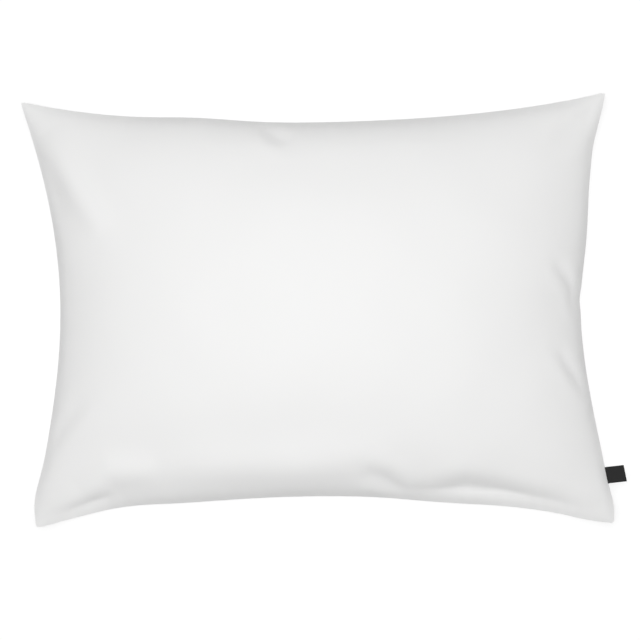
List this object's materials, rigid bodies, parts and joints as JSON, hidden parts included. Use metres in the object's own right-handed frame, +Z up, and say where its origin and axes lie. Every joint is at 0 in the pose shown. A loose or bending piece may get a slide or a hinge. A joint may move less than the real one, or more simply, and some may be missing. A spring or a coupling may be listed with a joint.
{
  "type": "bed pillow",
  "caption": "Plump rectangular bed pillow lying flat: a plain cotton case with a tuck-in flap and a small folded side label, over a piped, fibre-filled insert.",
  "frame": {"origin": "middle of the flat patch that the pillow rests on, in the plane of the bed", "axes": "+X along the length from the mouth end to the sewn end, +Y across towards the top edge, +Z up from the bed"},
  "size_m": [0.6892, 0.497, 0.15],
  "materials": {
    "case_cotton": "matt, smooth percale weave",
    "sewing_thread": "matt spun thread",
    "label_ribbon": "fine woven ribbon with a low sheen, blank",
    "care_tape": "smooth satin tape, blank",
    "ticking": "matt, dense plain weave",
    "piping_tape": "matt bias tape over a cord",
    "fibre": "loose carded fibre"
  },
  "bodies": {
    "pillow": {"case_front_panel": "case_cotton", "case_back_panel": "case_cotton", "case_tuck_flap": "case_cotton", "case_seam_thread": "sewing_thread", "case_hem_thread": "sewing_thread", "flap_hem_thread": "sewing_thread", "side_label_tail": "label_ribbon", "case_care_label": "care_tape", "ticking_front_panel": "ticking", "ticking_back_panel": "ticking", "insert_piping": "piping_tape", "ticking_seam_thread": "sewing_thread", "ticking_closing_thread": "sewing_thread", "insert_care_label": "care_tape", "fibre_fill": "fibre"},
    "label_flag": {"side_label": "label_ribbon"}
  },
  "joints": [
    {"name": "label_flip", "type": "hinge", "parent": "pillow", "child": "label_flag", "pos_m": [0.32916, -0.1865, 0.068], "axis": [-0.1972, 0.9804, 0], "range_deg": [-100, 100], "stiffness_Nm_per_rad": 0.0004}
  ]
}
